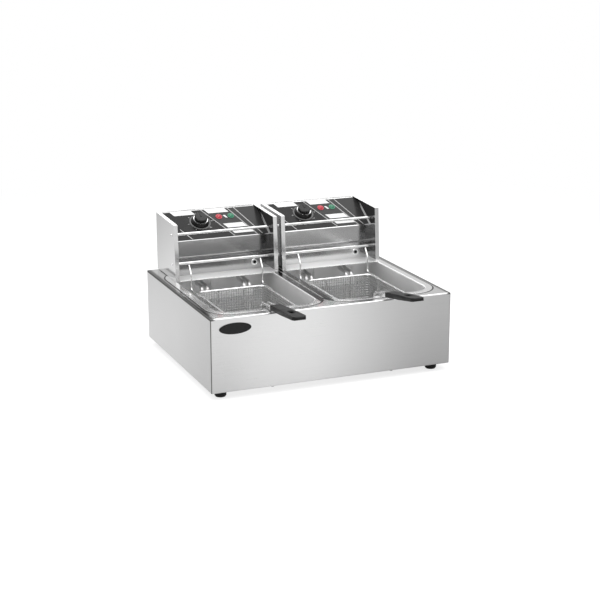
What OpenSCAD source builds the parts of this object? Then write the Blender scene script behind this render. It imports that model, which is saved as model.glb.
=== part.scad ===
// Countertop electric deep fryer with two oil tanks side by side. A folded steel casing stands
// on four rubber feet. Each side has a drop-in tank, a lift-off control head that carries the
// heating element into that tank, and a wire basket with a black grip.
// Millimetres. The fryer stands on Z = 0 with its front towards -Y, and X = Y = 0 is the middle
// of its outline, with the grips in front and the cable glands behind counted in.
// Inside the modules X runs from a tank's or a head's own middle, Y from the casing's front and
// Z from the casing's underside. The modules at_casing, at_tank and at_head put them in place.

/* [Casing] */
// Width of the casing
body_w = 550; // [545:1:600]
// Depth of the casing
body_d = 440; // [438:1:446]
// Height of the casing without its feet
body_h = 160; // [158:1:175]
// Height of the feet under the casing
foot_h = 16; // [12:1:24]
// Thickness of the casing and tank sheet
sheet = 1; // [0.8:0.1:1.2]
// Outside radius of the casing's folds
fold_r = 3; // [2:0.5:4]

/* [Oil tanks] */
// Distance between the middles of the two tanks
tank_pitch = 262; // [261:1:266]
// Inside width of a tank
tank_w = 228; // [220:1:228]
// Inside length of a tank, front to back
tank_l = 340; // [336:1:341]
// Inside depth of a tank under its rim
tank_depth = 145; // [144:1:148]
// Distance from the casing's front to the inside of a tank
tank_front = 35; // [33:1:36]
// Inside radius of a tank's upright corners
tank_corner_r = 40; // [30:1:44]
// Inside radius between a tank's walls and its floor
tank_floor_r = 18; // [10:1:20]
// Width of the rim that hangs on the casing
rim_w = 16; // [14:1:16]

/* [Control heads] */
// Distance between the middles of the two heads
head_pitch = 254; // [252:1:258]
// Width of a head over its cheeks
head_w = 244; // [240:1:246]
// Height of a head above the tank's rim, at the back
head_h = 132; // [130:1:140]
// Distance from the casing's front to the foot of a cheek
cheek_front = 304; // [303:1:306]
// How far a cheek's front edge leans back
cheek_lean = 9; // [4:1:12]
// Distance from the casing's front to the head's upright face
face_y = 353; // [352:1:354]
// Height of the fold between face and sloping panel, above the tank's rim
fold_h = 79; // [76:1:82]
// Thickness of the head's sheet
head_sheet = 1.2; // [1:0.1:1.5]
// Width of the flange on the front edge of each cheek
flange_w = 9.5; // [7:0.5:12]
// Diameter of the two rods that a basket hangs from
rod_d = 6; // [5:0.5:6]
// Heights of the two rods above the tank's rim
rod_h = [35, 102]; // [30:1:110]

/* [Knob, lamps and reset] */
// Diameter of the thermostat knob's skirt
knob_d = 40; // [36:1:41]
// Height of the knob over the panel
knob_h = 18; // [16:1:20]
// Place of the knob across the panel
knob_x = -31; // [-40:1:-28]
// Place of the knob up the panel's slope
knob_s = 56; // [52:1:60]
// Places of the red and the green lamp across the panel
lamp_x = [18, 47]; // [14:1:60]
// Place of the lamps up the panel's slope
lamp_s = 68; // [62:1:72]
// Place of the reset button across the upright face
reset_x = 82; // [80:1:90]
// Height of the reset button above the tank's rim
reset_h = 17; // [16:1:22]

/* [Heating elements] */
// Diameter of the heating tube
tube_d = 8; // [7:0.5:8]
// Height of the tube's loops above the casing's underside
tube_z = 38; // [34:1:38]
// Distances of the inner and the outer legs from the head's middle
leg_x = [44, 57]; // [42:1:60]

/* [Baskets] */
// Width of a basket between the middles of its rim wires
basket_w = 160; // [150:2:162]
// Length of a basket between the middles of its rim wires
basket_l = 200; // [190:2:202]
// Height of the rim above the casing's underside
basket_top = 141; // [138:1:144]
// Height of the bearer wires above the casing's underside
basket_floor = 46; // [46:1:50]
// Diameter of the rim wire and the handle wire
rim_wire_d = 5; // [4:0.5:5]
// Diameter of the bearer wires and the hooks
wire_d = 4; // [3:0.5:4]
// Distance from one mesh wire to the next
mesh_pitch = 16; // [14:1:20]
// Thickness of the mesh wire
mesh_wire = 1.4; // [1.2:0.1:1.8]

/* [Grips] */
// How far a grip reaches in front of the casing
grip_reach = 130; // [125:1:150]
// Width of the grip near its end
grip_w = 30; // [28:1:34]
// Thickness of the grip where the wires enter
grip_t = 11; // [10:0.5:12]
// Upward slope of the left and the right grip, in degrees
grip_slope = [5, 9.5]; // [4.5:0.5:9.5]

/* [Hidden] */
$fn = 48;
left = -1;
right = 1;
cut = 1; // how far a cutting shape runs past what it cuts

// Casing
gland_reach = 14;
front_y = grip_reach - (grip_reach + body_d + gland_reach)/2;
return_w = 14; // flange folded in round the underside
foot_in = 30;
foot_r = 13;
screw_r = 2;
screw_head_r = 3.8;
screw_head_h = 2.4;
screw_l = 12;
hole_r = screw_r + 0.1;
foot_head_z = -5; // the feet's screws sit this deep in their feet
foot_step = 3; // height of a foot's chamfered lower end
support_w = 22;
support_h = 60;
badge_place = [-221.5, 136];
badge_radii = [35, 12];
badge_t = 1.2;
air_slot = [6, 60];
air_slot_pitch = 18;
air_slot_y = 50; // either side of the middle
foot_places = [
    for (x = [-1, 1], y = [foot_in, body_d - foot_in]) [x*(body_w/2 - foot_in), y]
];
flange_places = [
    for (x = [-1, 1], y = [body_d/4, body_d*3/4]) [x*(body_w/2 - return_w/2), y],
    for (x = [-1, 1], y = [return_w/2, body_d - return_w/2]) [x*body_w/4, y]
];

// Tanks
rim_top = body_h + sheet;
rim_bend = 2;
tank_y = tank_front + tank_l/2;
tank_floor = rim_top - tank_depth;
deck_gap = sheet + rim_bend + 0.5; // from a tank's inside to the edge of its opening

// Heads
inner_w = head_w - 2*head_sheet;
head_floor = rim_top + head_sheet;
head_back = body_d - head_sheet;
cheek_drop = 5;
fold = [face_y + head_sheet/2, rim_top + fold_h];
ridge = [head_back - 1.9, rim_top + head_h - 2];
panel_angle = atan2(ridge.y - fold.y, ridge.x - fold.x);
panel_l = norm(ridge - fold);
lip_h = 28;
film_t = 0.5;
rod_y = 330;
rod_screw_r = 1.6;
back_flange_w = 12;
back_screw_places = [for (x = [-1, 1], h = [20, 92]) [x*(inner_w/2 - back_flange_w/2), h]];
gland_place = [-80, 29];
gland_r = 7.9;
gland_bore_r = 4.5;
gland_nut_h = 4;
gland_collar = 5;
back_slot = [5, 24];

// Knob and what turns with it
bush_r = 5;
spindle_r = 3;
spindle_gap = 0.05;
bush_top = 3.4;
knob_lift = film_t + 0.4;
shoulder_h = 8.6;
knob_top_r = knob_d/2 - 5;

// Lamps and reset
lamp_r = 5.8;
reset_r = 3.75;
reset_gap = 0.08;
nose_r = 5.4;
nose_h = 2.4;
lamp_body = 22; // depth of a lamp behind the panel

// Thermostat's capillary and bulb
can_h = 30; // the thermostat's and the limiter's housings behind their sheet
can_w = 42;
blade = [6, 0.8, 8]; // a push-on terminal of the thermostat
limiter_h = 20;
reset_well = 13;
bulb_x = -20;
bulb_r = 3;
bulb_z = [52, 135];
capillary_d = 2;
capillary_s = knob_s - 6;

// Terminal block
block = [60, 24, 20];
block_place = [-50, body_d - 35];
clamp_pitch = 14;

// Elements
tube_r = tube_d/2;
leg_back = 362;
leg_front = 318;
run_z = 140;
outer_x = 85;
outer_front = 66;
inner_front = 100;
inner_back = 284;
inner_x = 15;
strap_t = 1.5;
strap_w = 10;
strap_y = [125, 245];
strap_foot_x = 64;
clamp_h = 16;

// Baskets
basket_y = 175;
basket_corner_r = 14;
mesh_r = basket_corner_r - wire_d/2 - 0.05; // outside radius of the mesh's upright corners
mesh_w = basket_w - wire_d - 0.1;
mesh_l = basket_l - wire_d - 0.1;
weld_gap = 0.1; // between wires that are spot welded
upper_bearer = basket_floor + wire_d + weld_gap;
bearer_top = basket_top - rim_wire_d/2 - weld_gap;
cross_wire_z = 60;
mesh_bottom = upper_bearer + wire_d/2 + 0.05;
mesh_wall_bottom = mesh_bottom + mesh_wire + weld_gap;
mesh_wall_h = basket_top - rim_wire_d/2 - weld_gap - mesh_wall_bottom;
mesh_rings = floor(mesh_wall_h/mesh_pitch) + 1;
mesh_ring_step = (mesh_wall_h - mesh_wire)/mesh_rings;
bearer_x = [-30, 30];
bearer_y = [-55, 55];
bearer_bend = 3;
hook_x = basket_w/2 + (rim_wire_d + wire_d)/2 + weld_gap;
hook_foot_y = basket_y + 60;
hook_y = 298;
hook_turn = 178; // height at which a hook leans back
hook_tip = 22;

// Grips
grip_root = 6;
grip_z = 169.5;
grip_root_w = 23;
grip_end_t = 7.6;
grip_l = grip_end_t/2 + (grip_root + grip_reach - grip_end_t/2)/cos(min(grip_slope));
grip_bore = 46;
handle_x = 6.5;
handle_y = basket_y - basket_l/2 - rim_wire_d;
slot_place = -89;
grip_slot = [9, 20];

// ---- Placing ----

module at_casing() translate([0, front_y, foot_h]) children();

module at_tank(side) translate([side*tank_pitch/2, front_y, foot_h]) children();

module at_head(side) translate([side*head_pitch/2, front_y, foot_h]) children();

// Puts Z = 0 on the sloping panel, with Y up its slope and Z out of it
module on_panel(x, s)
    translate([x, fold.x, fold.y])
        rotate([panel_angle, 0, 0])
            translate([0, s, head_sheet/2])
                children();

// Puts Z = 0 on the upright face, with Z towards the front
module on_face(x, h) translate([x, face_y, rim_top + h]) rotate([90, 0, 0]) children();

// Lays a grip's length along -Y, sloping up from where the wires enter it
module along_grip(side) translate([0, grip_root, grip_z]) rotate([-slope_of(side), 0, 0]) children();

// ---- Shapes that several parts share ----

module rounded_rect(w, l, r) {
    square([w - 2*r, l], center = true);
    square([w, l - 2*r], center = true);
    for (x = [-1, 1], y = [-1, 1])
        translate([x*(w/2 - r), y*(l/2 - r)])
            circle(r);
}

// One quarter of a ring, in the quadrant that x and y point to
module quarter_ring(r_in, r_out, x, y) intersection() {
    difference() {
        circle(r_out);
        circle(r_in);
    }
    translate([x*r_out/2, y*r_out/2])
        square(r_out, center = true);
}

// A box whose twelve edges are folds of radius r
module folded_box(w, l, h, r) intersection() {
    linear_extrude(h, center = true)
        rounded_rect(w, l, r);
    rotate([90, 0, 0])
        linear_extrude(l, center = true)
            rounded_rect(w, h, r);
    rotate([90, 0, 90])
        linear_extrude(w, center = true)
            rounded_rect(l, h, r);
}

// Runs a section round a rectangle with round corners. The section's X is measured from the
// middle of a corner, and its Y is the height.
module around_rect(w, l, r) for (turn = [0, 180]) rotate(turn) {
    translate([w/2 - r, 0, 0])
        rotate([90, 0, 0])
            linear_extrude(l - 2*r, center = true)
                children();
    translate([0, l/2 - r, 0])
        rotate([90, 0, 90])
            linear_extrude(w - 2*r, center = true)
                children();
    translate([w/2 - r, l/2 - r, 0])
        rotate_extrude(angle = 90)
            children();
    translate([r - w/2, l/2 - r, 0])
        rotate(90)
            rotate_extrude(angle = 90)
                children();
}

// Extrudes a side outline, drawn as [Y, Z], along X
module across(w) rotate([90, 0, 90]) linear_extrude(w, center = true) children();

// A bent sheet seen from its edge, along the middle of its thickness
module strip(path, t) {
    for (i = [0 : len(path) - 2]) {
        run = path[i + 1] - path[i];
        translate(path[i])
            rotate(atan2(run.y, run.x))
                translate([0, -t/2])
                    square([norm(run), t]);
    }
    for (i = [1 : len(path) - 2])
        translate(path[i])
            circle(d = t);
}

function unit(v) = v/norm(v);

// Puts a shape that runs along Z between two points
module between(start, end) {
    run = end - start;
    tilt = acos(run.z/norm(run));
    translate(start)
        rotate([0, tilt, atan2(run.y, run.x)])
            linear_extrude(norm(run))
                children();
}

// A round rod through the path's points, with a bend of the given radius at each one. The
// straight stretches run a little way into the bends, where they are a hair thinner.
module bent_rod(path, bends, d, lap = 0.2) {
    hair = lap/10;
    last = len(path) - 1;
    dirs = [for (i = [0 : last - 1]) unit(path[i + 1] - path[i])];
    turns = [for (i = [0 : last]) i == 0 || i == last ? 0 : acos(dirs[i - 1]*dirs[i])];
    trims = [for (i = [0 : last]) turns[i] == 0 ? 0 : bends[i]*tan(turns[i]/2) - lap];
    for (i = [0 : last - 1])
        between(path[i] + dirs[i]*trims[i], path[i + 1] - dirs[i]*trims[i + 1])
            circle(d = d - hair);
    for (i = [1 : last - 1]) {
        axis = unit(cross(dirs[i - 1], dirs[i]));
        inward = cross(axis, dirs[i - 1]);
        middle = path[i] - dirs[i - 1]*(trims[i] + lap) + inward*bends[i];
        multmatrix([
            [-inward.x, dirs[i - 1].x, axis.x, middle.x],
            [-inward.y, dirs[i - 1].y, axis.y, middle.y],
            [-inward.z, dirs[i - 1].z, axis.z, middle.z]
        ])
            rotate_extrude(angle = turns[i])
                translate([bends[i], 0])
                    circle(d = d);
    }
}

// A pan-head screw that points up, its head under Z = 0
module screw(r, l, head_r, head_h) {
    cylinder(h = l, r = r);
    translate([0, 0, -head_h])
        cylinder(h = head_h, r1 = head_r*0.8, r2 = head_r);
}

// A slot with round ends, its length along Y
module slot(w, l) {
    square([w, l - w], center = true);
    for (y = [-1, 1])
        translate([0, y*(l - w)/2])
            circle(d = w);
}

// ---- Casing ----

module outer_casing() color("gainsboro") at_casing() difference() {
    translate([0, body_d/2, body_h/2])
        folded_box(body_w, body_d, body_h, fold_r);
    translate([0, body_d/2, body_h/2])
        folded_box(body_w - 2*sheet, body_d - 2*sheet, body_h - 2*sheet, fold_r - sheet);
    translate([0, body_d/2, -cut])
        linear_extrude(sheet + 2*cut)
            rounded_rect(body_w - 2*return_w, body_d - 2*return_w, return_w/2);
    for (side = [left, right])
        translate([side*tank_pitch/2, tank_y, body_h - sheet - cut])
            linear_extrude(sheet + 2*cut)
                rounded_rect(tank_w + 2*deck_gap, tank_l + 2*deck_gap, tank_corner_r + deck_gap);
    for (place = flange_places)
        translate([place.x, place.y, -cut])
            cylinder(h = sheet + 2*cut, r = hole_r);
}

// Bottom sheet on the folded-in flange, with air slots under each tank
module base_plate() color("silver") at_casing() translate([0, 0, sheet]) linear_extrude(sheet)
    difference() {
        translate([0, body_d/2])
            rounded_rect(body_w - 7, body_d - 7, fold_r + 1);
        for (place = concat(foot_places, flange_places))
            translate(place)
                circle(hole_r);
        for (side = [left, right], i = [-4 : 4], y = [-1, 1])
            translate([side*tank_pitch/2 + i*air_slot_pitch, body_d/2 + y*air_slot_y])
                slot(air_slot.x, air_slot.y);
    }

// Channel under the strip between the two tanks
module centre_support() color("silver") at_casing()
    translate([0, body_d - 2*fold_r, body_h - sheet - support_h])
        rotate([90, 0, 0])
            linear_extrude(body_d - 4*fold_r)
                difference() {
                    translate([-support_w/2, 0])
                        square([support_w, support_h]);
                    translate([sheet - support_w/2, -cut])
                        square([support_w - 2*sheet, support_h + cut - sheet]);
                }

module rubber_feet() color("#202020") at_casing() for (place = foot_places)
    translate([place.x, place.y, -foot_h])
        difference() {
            union() {
                cylinder(h = foot_step, r1 = foot_r - 2.5, r2 = foot_r - 0.5);
                translate([0, 0, foot_step])
                    cylinder(h = foot_h + sheet - foot_step, r1 = foot_r - 0.5, r2 = foot_r);
            }
            translate([0, 0, -cut])
                cylinder(h = foot_h + 3*cut, r = hole_r);
            translate([0, 0, -cut])
                cylinder(h = foot_h + foot_head_z + cut, r = screw_head_r + 1.2);
        }

module base_screws() color("silver") at_casing() {
    for (place = foot_places)
        translate([place.x, place.y, foot_head_z])
            screw(screw_r, screw_l, screw_head_r, screw_head_h);
    for (place = flange_places)
        translate([place.x, place.y, 0])
            screw(screw_r, screw_l, screw_head_r, screw_head_h);
}

// Bare oval plate on the casing's front
module badge_plate() color("#303030") at_casing() translate([badge_place.x, 0, badge_place.y])
    rotate([90, 0, 0])
        linear_extrude(badge_t)
            polygon([for (a = [0 : 7.5 : 352.5]) [badge_radii.x*cos(a), badge_radii.y*sin(a)]]);

// ---- Tanks ----

// One side of the pressed sheet: floor bend, wall, rim bend and rim
module tank_section() {
    translate([tank_corner_r - tank_floor_r, tank_floor + tank_floor_r])
        quarter_ring(tank_floor_r, tank_floor_r + sheet, 1, -1);
    translate([tank_corner_r, tank_floor + tank_floor_r])
        square([sheet, body_h - rim_bend - tank_floor - tank_floor_r]);
    translate([tank_corner_r + sheet + rim_bend, body_h - rim_bend])
        quarter_ring(rim_bend, rim_bend + sheet, -1, 1);
    translate([tank_corner_r + sheet + rim_bend, body_h])
        square([rim_w - sheet - rim_bend, sheet]);
}

module tank(side) color("lightgray") at_tank(side) translate([0, tank_y, 0]) {
    around_rect(tank_w, tank_l, tank_corner_r)
        tank_section();
    translate([0, 0, tank_floor - sheet])
        linear_extrude(sheet)
            rounded_rect(tank_w - 2*tank_floor_r, tank_l - 2*tank_floor_r,
                tank_corner_r - tank_floor_r);
}

// ---- Heads ----

module cheek_outline() polygon([
    [cheek_front, rim_top],
    [cheek_front + cheek_lean, rim_top + head_h - cheek_drop],
    [head_back, rim_top + head_h],
    [head_back, rim_top]
]);

// Floor and cheeks seen from the front, folded from one sheet
module shell_section() difference() {
    translate([0, rim_top + head_h])
        rounded_rect(head_w, 2*head_h, 2*head_sheet);
    translate([0, rim_top + head_h])
        rounded_rect(inner_w, 2*(head_h - head_sheet), head_sheet);
}

module leg_holes(r) for (x = leg_x, side = [-1, 1])
    translate([side*x, leg_back, rim_top - cut])
        cylinder(h = head_sheet + 2*cut, r = r);

module head_shell(side) color("gainsboro") at_head(side) difference() {
    union() {
        intersection() {
            translate([0, body_d, 0])
                rotate([90, 0, 0])
                    linear_extrude(body_d)
                        shell_section();
            across(head_w)
                cheek_outline();
        }
        for (x = [-1, 1]) {
            // flange on the cheek's leaning front edge
            translate([x*(head_w - flange_w)/2, 0, 0])
                across(flange_w - head_sheet/2)
                    difference() {
                        cheek_outline();
                        translate([head_sheet, 0])
                            cheek_outline();
                        translate([0, rim_top])
                            square([body_d, head_sheet/2]);
                    }
            // flange for the back plate
            translate([x*(head_w - head_sheet - back_flange_w)/2, head_back - head_sheet/2, 0])
                translate([0, 0, rim_top + head_sheet/2])
                    linear_extrude(head_h - head_sheet)
                        square([back_flange_w, head_sheet], center = true);
        }
    }
    leg_holes(tube_r + 0.5);
    translate([bulb_x, leg_back, rim_top - cut])
        cylinder(h = head_sheet + 2*cut, r = 4);
    for (h = rod_h)
        translate([-head_w, rod_y, rim_top + h])
            rotate([0, 90, 0])
                cylinder(h = 2*head_w, r = rod_screw_r + 0.1);
    for (place = back_screw_places)
        translate([place.x, head_back + cut, rim_top + place.y])
            rotate([90, 0, 0])
                cylinder(h = head_sheet + 2*cut, r = hole_r);
}

// Upright face, sloping panel and the lip behind it, folded from one sheet
module head_front(side) color("silver") at_head(side) difference() {
    union() {
        across(inner_w - 0.2)
            strip([[ridge.x, ridge.y - lip_h], ridge, fold, [fold.x, head_floor]], head_sheet);
        for (x = [-1, 1])
            translate([x*(inner_w/2 - 0.1 - head_sheet/2), face_y + head_sheet/2, head_floor + 2])
                translate([-head_sheet/2, 0, 0])
                    cube([head_sheet, 10, fold_h - 8]);
    }
    on_panel(knob_x, knob_s)
        cylinder(h = 3*head_sheet, r = bush_r + 0.1, center = true);
    for (x = lamp_x)
        on_panel(x, lamp_s)
            cylinder(h = 3*head_sheet, r = lamp_r + 0.2, center = true);
    on_face(reset_x, reset_h)
        cylinder(h = 3*head_sheet, r = nose_r + 0.1, center = true);
}

module head_back(side) color("silver") at_head(side) translate([0, body_d, rim_top])
    rotate([90, 0, 0])
        linear_extrude(head_sheet)
            difference() {
                translate([-head_w/2, 0])
                    square([head_w, head_h]);
                for (i = [-3 : 4], h = [56, 92])
                    translate([i*14, h])
                        slot(back_slot.x, back_slot.y);
                for (place = back_screw_places)
                    translate(place)
                        circle(hole_r);
                translate(gland_place)
                    circle(gland_r + 0.2);
            }

module back_screws(side) color("silver") at_head(side) for (place = back_screw_places)
    translate([place.x, body_d, rim_top + place.y])
        rotate([90, 0, 0])
            screw(screw_r, 8, screw_head_r, screw_head_h);

module control_film(side) color("#2a2a2c") at_head(side) on_panel(0, panel_l/2)
    linear_extrude(film_t)
        difference() {
            square([inner_w - 5, panel_l - 5], center = true);
            translate([knob_x, knob_s - panel_l/2])
                circle(bush_r + 0.5);
            for (x = lamp_x)
                translate([x, lamp_s - panel_l/2])
                    circle(lamp_r + 0.2);
        }

// Two rods, tapped at both ends for the screws through the cheeks
module hanging_rods(side) color("whitesmoke") at_head(side) for (h = rod_h)
    translate([0, rod_y, rim_top + h])
        rotate([0, 90, 0])
            difference() {
                cylinder(h = inner_w, d = rod_d, center = true);
                for (x = [-1, 1])
                    translate([0, 0, x*inner_w/2])
                        cylinder(h = 20, r = rod_screw_r + 0.05, center = true);
            }

module rod_screws(side) color("silver") at_head(side) for (h = rod_h, x = [-1, 1])
    translate([x*head_w/2, rod_y, rim_top + h])
        rotate([0, -x*90, 0])
            screw(rod_screw_r, 9, 3.2, 2);

// ---- Controls ----

module dial_ring(side) color("whitesmoke") at_head(side) on_panel(knob_x, knob_s)
    translate([0, 0, film_t])
        linear_extrude(0.6)
            difference() {
                circle(knob_d/2 + 4.5);
                circle(knob_d/2 + 1);
            }

// Half of the knob's section, from its hollow underside to its chamfered top
module knob_section() polygon([
    [0, knob_lift],
    [knob_d/2, knob_lift],
    [knob_d/2, knob_lift + 2.4],
    [knob_top_r + 1.6, shoulder_h],
    [knob_top_r, shoulder_h],
    [knob_top_r, knob_h - 2],
    [knob_top_r - 2, knob_h],
    [0, knob_h]
]);

module knob(side) color("#1c1c1c") at_head(side) on_panel(knob_x, knob_s) difference() {
    union() {
        rotate_extrude()
            knob_section();
        translate([-1.5, 0, knob_h - 1])
            cube([3, knob_top_r - 4, 2]);
    }
    cylinder(h = knob_h - 5, r = spindle_r);
    cylinder(h = bush_top + 1.6, r = bush_r + 3);
    for (turn = [18 : 36 : 342])
        rotate(turn)
            translate([knob_top_r + 1.2, 0, shoulder_h + 2.4])
                cylinder(h = knob_h, r = 2);
}

module knob_ring(side) color("whitesmoke") at_head(side) on_panel(knob_x, knob_s)
    translate([0, 0, shoulder_h])
        linear_extrude(1.8)
            difference() {
                circle(knob_top_r + 1.6);
                circle(knob_top_r);
            }

module spindle(side) color("silver") at_head(side) on_panel(knob_x, knob_s)
    translate([0, 0, -18])
        cylinder(h = 18 + knob_h - 5, r = spindle_r);

module thermostat(side) color("dimgray") at_head(side) on_panel(knob_x, knob_s)
    difference() {
        union() {
            translate([0, 0, -head_sheet - can_h])
                linear_extrude(can_h)
                    rounded_rect(can_w, can_h, 3);
            translate([0, 0, -head_sheet - cut])
                cylinder(h = head_sheet + cut + bush_top, r = bush_r);
            for (x = [-14, -5, 14], y = [-8, 8])
                translate([x - blade.x/2, y + 3, -head_sheet - can_h - blade.z + cut])
                    cube(blade);
        }
        translate([0, 0, -19])
            cylinder(h = 19 + bush_top + cut, r = spindle_r + spindle_gap);
    }

// A point behind the panel as [x, y, z]: s up its slope and z out of it
function panel_point(x, s, z) = [
    x,
    fold.x + s*cos(panel_angle) - (z + head_sheet/2)*sin(panel_angle),
    fold.y + s*sin(panel_angle) + (z + head_sheet/2)*cos(panel_angle)
];

// Bulb beside the heating tubes, and the capillary that leads up to the thermostat
module thermostat_bulb(side) color("silver") at_head(side) {
    translate([bulb_x, leg_back, bulb_z[0]])
        cylinder(h = bulb_z[1] - bulb_z[0], r = bulb_r);
    translate([bulb_x, leg_back, bulb_z[1]])
        cylinder(h = 4, r1 = bulb_r, r2 = capillary_d/2);
    bent_rod([
        [bulb_x, leg_back, bulb_z[1] + 2],
        [bulb_x, leg_back, 205],
        panel_point(bulb_x, capillary_s, -head_sheet - can_h - 16),
        panel_point(bulb_x, capillary_s, -head_sheet - can_h)
    ], [0, 6, 6, 0], capillary_d);
}

// High-limit cut-out behind the upright face, its nose through the sheet
module limiter(side) color("dimgray") at_head(side) on_face(reset_x, reset_h) difference() {
    union() {
        translate([0, 0, -head_sheet - limiter_h])
            cylinder(h = limiter_h, r = 13);
        translate([0, 0, -head_sheet - cut])
            cylinder(h = head_sheet + cut + nose_h, r = nose_r);
    }
    translate([0, 0, -reset_well])
        cylinder(h = reset_well + nose_h + cut, r = reset_r + reset_gap);
}

module reset_bezel(side) color("whitesmoke") at_head(side) on_face(reset_x, reset_h)
    rotate_extrude()
        difference() {
            translate([nose_r + 0.05, 0])
                square([2.4, 2.6]);
            translate([nose_r + 3, 3.2])
                circle(1.4);
        }

module reset_button(side) color("#1a1a1a") at_head(side) on_face(reset_x, reset_h) {
    translate([0, 0, -9])
        cylinder(h = 12.6, r = reset_r);
    translate([0, 0, 3.6])
        cylinder(h = 1, r1 = reset_r, r2 = reset_r - 1);
}

// Indicator lamp: round flange, domed lens and the body behind the panel
module lamp(x) on_panel(x, lamp_s) {
    lens_r = lamp_r + 0.2;
    lens_h = 3.2;
    dome = (lens_r*lens_r + lens_h*lens_h)/(2*lens_h);
    flange_h = 1.3;
    translate([0, 0, film_t])
        rotate_extrude() {
            square([lamp_r + 1.9, flange_h]);
            intersection() {
                translate([0, flange_h + lens_h - dome])
                    circle(dome);
                translate([0, flange_h - 0.5])
                    square([lens_r, lens_h + 1]);
            }
        }
    translate([0, 0, -lamp_body])
        cylinder(h = lamp_body + film_t + 0.5, r = lamp_r);
}

module red_lamp(side) color("firebrick") at_head(side) lamp(lamp_x[0]);

module green_lamp(side) color("seagreen") at_head(side) lamp(lamp_x[1]);

// Ceramic block with a well over each of its four clamps
module terminal_block(side) color("ivory") at_head(side)
    translate([block_place.x, block_place.y, head_floor])
        difference() {
            linear_extrude(block.z)
                rounded_rect(block.x, block.y, 2);
            for (i = [-1.5 : 1.5]) {
                translate([i*clamp_pitch, 0, 8])
                    cylinder(h = block.z, r = 3.2);
                translate([i*clamp_pitch, 0, 6])
                    rotate([90, 0, 0])
                        cylinder(h = block.y + 2*cut, r = 2.4, center = true);
            }
        }

module cable_gland(side) color("#262626") at_head(side)
    translate([gland_place.x, head_back - gland_nut_h, rim_top + gland_place.y])
        rotate([-90, 0, 0])
            difference() {
                union() {
                    cylinder(h = gland_nut_h, r = 10.5, $fn = 6);
                    cylinder(h = gland_nut_h + head_sheet + cut, r = gland_r);
                    translate([0, 0, gland_nut_h + head_sheet])
                        cylinder(h = gland_collar, r = 11, $fn = 6);
                    translate([0, 0, gland_nut_h + head_sheet + gland_collar])
                        cylinder(h = gland_reach - gland_collar, r1 = 9.4, r2 = 7);
                }
                translate([0, 0, -cut])
                    cylinder(h = gland_nut_h + head_sheet + gland_reach + 2*cut, r = gland_bore_r);
            }

// ---- Elements ----

// Completes a path or a list of bends with its own mirror image
function both_halves(half) = concat(half, [
    for (i = [len(half) - 1 : -1 : 0]) is_list(half[i]) ? [-half[i].x, half[i].y, half[i].z] : half[i]
]);

// One leg, from its cold end in the head down to the tank's floor
function leg_path(x) = [
    [x, leg_back, run_z + 36],
    [x, leg_back, run_z],
    [x, leg_front, run_z],
    [x, leg_front, tube_z]
];

module element(side) color("dimgray") at_head(side) {
    outer = concat(leg_path(leg_x[1]), [[outer_x, leg_front, tube_z], [outer_x, outer_front, tube_z]]);
    bent_rod(both_halves(outer), both_halves([0, 10, 10, 12, 14, 24]), tube_d, lap = 0);
    inner = concat(leg_path(leg_x[0]), [
        [leg_x[0], inner_front, tube_z],
        [inner_x, inner_front, tube_z],
        [inner_x, inner_back, tube_z]
    ]);
    bent_rod(both_halves(inner), both_halves([0, 10, 10, 12, 13, 13, 13]), tube_d, lap = 0);
    for (x = [-1, 1]) {
        translate([x*(leg_x[0] + leg_x[1])/2, leg_back, rim_top - 3])
            linear_extrude(3)
                rounded_rect(33, 18, 6);
        for (leg = leg_x)
            translate([x*leg, leg_back, run_z + 35])
                cylinder(h = 9, r = 1.5);
    }
}

// Two flat bars clamped over the tubes, on feet, and the clamp round the four legs
module element_straps(side) color("silver") at_head(side) {
    tubes_x = [-outer_x, -leg_x[0], -inner_x, inner_x, leg_x[0], outer_x];
    bar_z = tube_z + tube_r;
    for (y = strap_y)
        translate([0, y, 0])
            difference() {
                union() {
                    translate([-outer_x - 5, -strap_w/2, bar_z])
                        cube([2*outer_x + 10, strap_w, strap_t]);
                    for (x = tubes_x)
                        translate([x, 0, tube_z])
                            rotate([90, 0, 0])
                                cylinder(h = strap_w, r = tube_r + 1.2, center = true);
                    for (x = [-1, 1])
                        translate([x*strap_foot_x - strap_t/2, -strap_w/2, tank_floor + 0.5])
                            cube([strap_t, strap_w, bar_z + 0.5 - tank_floor]);
                    for (x = [-1, 1])
                        translate([x*strap_foot_x - strap_w/2, -strap_w/2, tank_floor + 0.5])
                            cube([strap_w, strap_w, strap_t]);
                }
                for (x = tubes_x)
                    translate([x, 0, tube_z])
                        rotate([90, 0, 0])
                            cylinder(h = strap_w + 2*cut, r = tube_r, center = true);
            }
    translate([0, leg_front, run_z - 28])
        linear_extrude(clamp_h)
            difference() {
                union() {
                    translate([-leg_x[1] - 5, -tube_r - strap_t])
                        square([2*leg_x[1] + 10, strap_t]);
                    for (x = leg_x, s = [-1, 1])
                        translate([s*x, 0])
                            circle(tube_r + 1.2);
                }
                for (x = leg_x, s = [-1, 1])
                    translate([s*x, 0])
                        circle(tube_r);
            }
}

// ---- Baskets ----

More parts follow.
